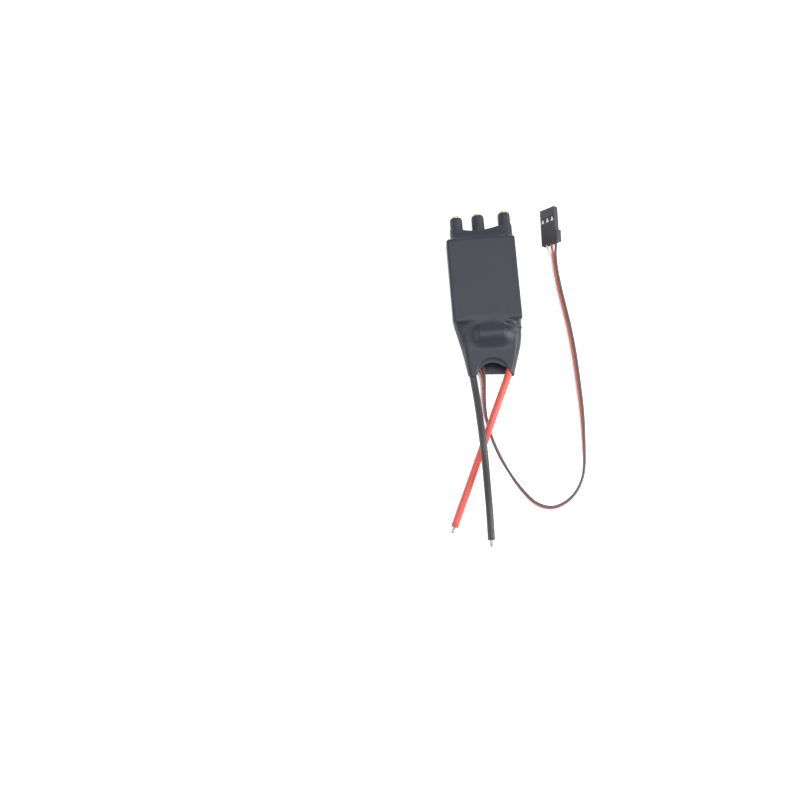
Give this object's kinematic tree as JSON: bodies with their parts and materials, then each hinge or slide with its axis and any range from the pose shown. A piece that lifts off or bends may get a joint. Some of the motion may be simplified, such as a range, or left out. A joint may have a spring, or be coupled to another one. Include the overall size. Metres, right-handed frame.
{
  "type": "electronic speed controller",
  "caption": "Brushless motor speed controller in black heat-shrink, with gold motor sockets, black and red power wires, and a looped flat signal lead to a plug.",
  "frame": {"origin": "middle of the underside of the sleeved housing with its motor sockets, wires not counted", "axes": "+Y from the power wires to the motor sockets, +Z out of the heat spreader face, +X to the side of the looped signal lead"},
  "size_m": [0.056, 0.1349, 0.0101],
  "materials": {
    "board": "solder mask",
    "bung": "moulded rubber",
    "capacitor_can": "aluminium can in a printed film",
    "ceramic_part": "sintered ceramic",
    "chip_package": "moulded epoxy",
    "contact_metal": "tinned spring metal",
    "gold": "polished gold plating",
    "lead_black": "satin vinyl",
    "lead_red": "satin vinyl",
    "lead_white": "satin vinyl",
    "plug_plastic": "moulded plug",
    "resistor": "glazed chip",
    "silicone_black": "satin silicone",
    "silicone_red": "satin silicone",
    "sleeve_film": "satin heat-shrink film",
    "socket_film": "satin heat-shrink film",
    "solder": "bright solder",
    "spreader": "plain rolled plate",
    "thermal_pad": "soft silicone pad",
    "tinned_copper": "tinned copper strand"
  },
  "bodies": {
    "root": {"capacitor_bung": "bung", "capacitor_can": "capacitor_can", "capacitor_leads": "tinned_copper", "ceramic_capacitors": "ceramic_part", "conductor_black": "tinned_copper", "conductor_red": "tinned_copper", "gate_driver_1": "chip_package", "gate_driver_2": "chip_package", "gate_driver_3": "chip_package", "heat_spreader": "spreader", "lead_wire_black": "lead_black", "lead_wire_red": "lead_red", "lead_wire_white": "lead_white", "lower_mosfet_1": "chip_package", "lower_mosfet_2": "chip_package", "lower_mosfet_3": "chip_package", "lower_mosfet_4": "chip_package", "lower_mosfet_5": "chip_package", "lower_mosfet_6": "chip_package", "main_board": "board", "microcontroller": "chip_package", "motor_socket_1": "gold", "motor_socket_2": "gold", "motor_socket_3": "gold", "motor_solder_joints": "solder", "outer_sleeve": "sleeve_film", "plug_contact_black": "contact_metal", "plug_contact_red": "contact_metal", "plug_contact_white": "contact_metal", "plug_housing": "plug_plastic", "power_solder_joints": "solder", "power_wire_black": "silicone_black", "power_wire_red": "silicone_red", "resistors": "resistor", "resonator": "ceramic_part", "signal_solder_joints": "solder", "socket_sleeve_1": "socket_film", "socket_sleeve_2": "socket_film", "socket_sleeve_3": "socket_film", "thermal_pad": "thermal_pad", "upper_mosfet_1": "chip_package", "upper_mosfet_2": "chip_package", "upper_mosfet_3": "chip_package", "upper_mosfet_4": "chip_package", "upper_mosfet_5": "chip_package", "upper_mosfet_6": "chip_package", "voltage_regulator_1": "chip_package", "voltage_regulator_2": "chip_package"}
  },
  "joints": []
}
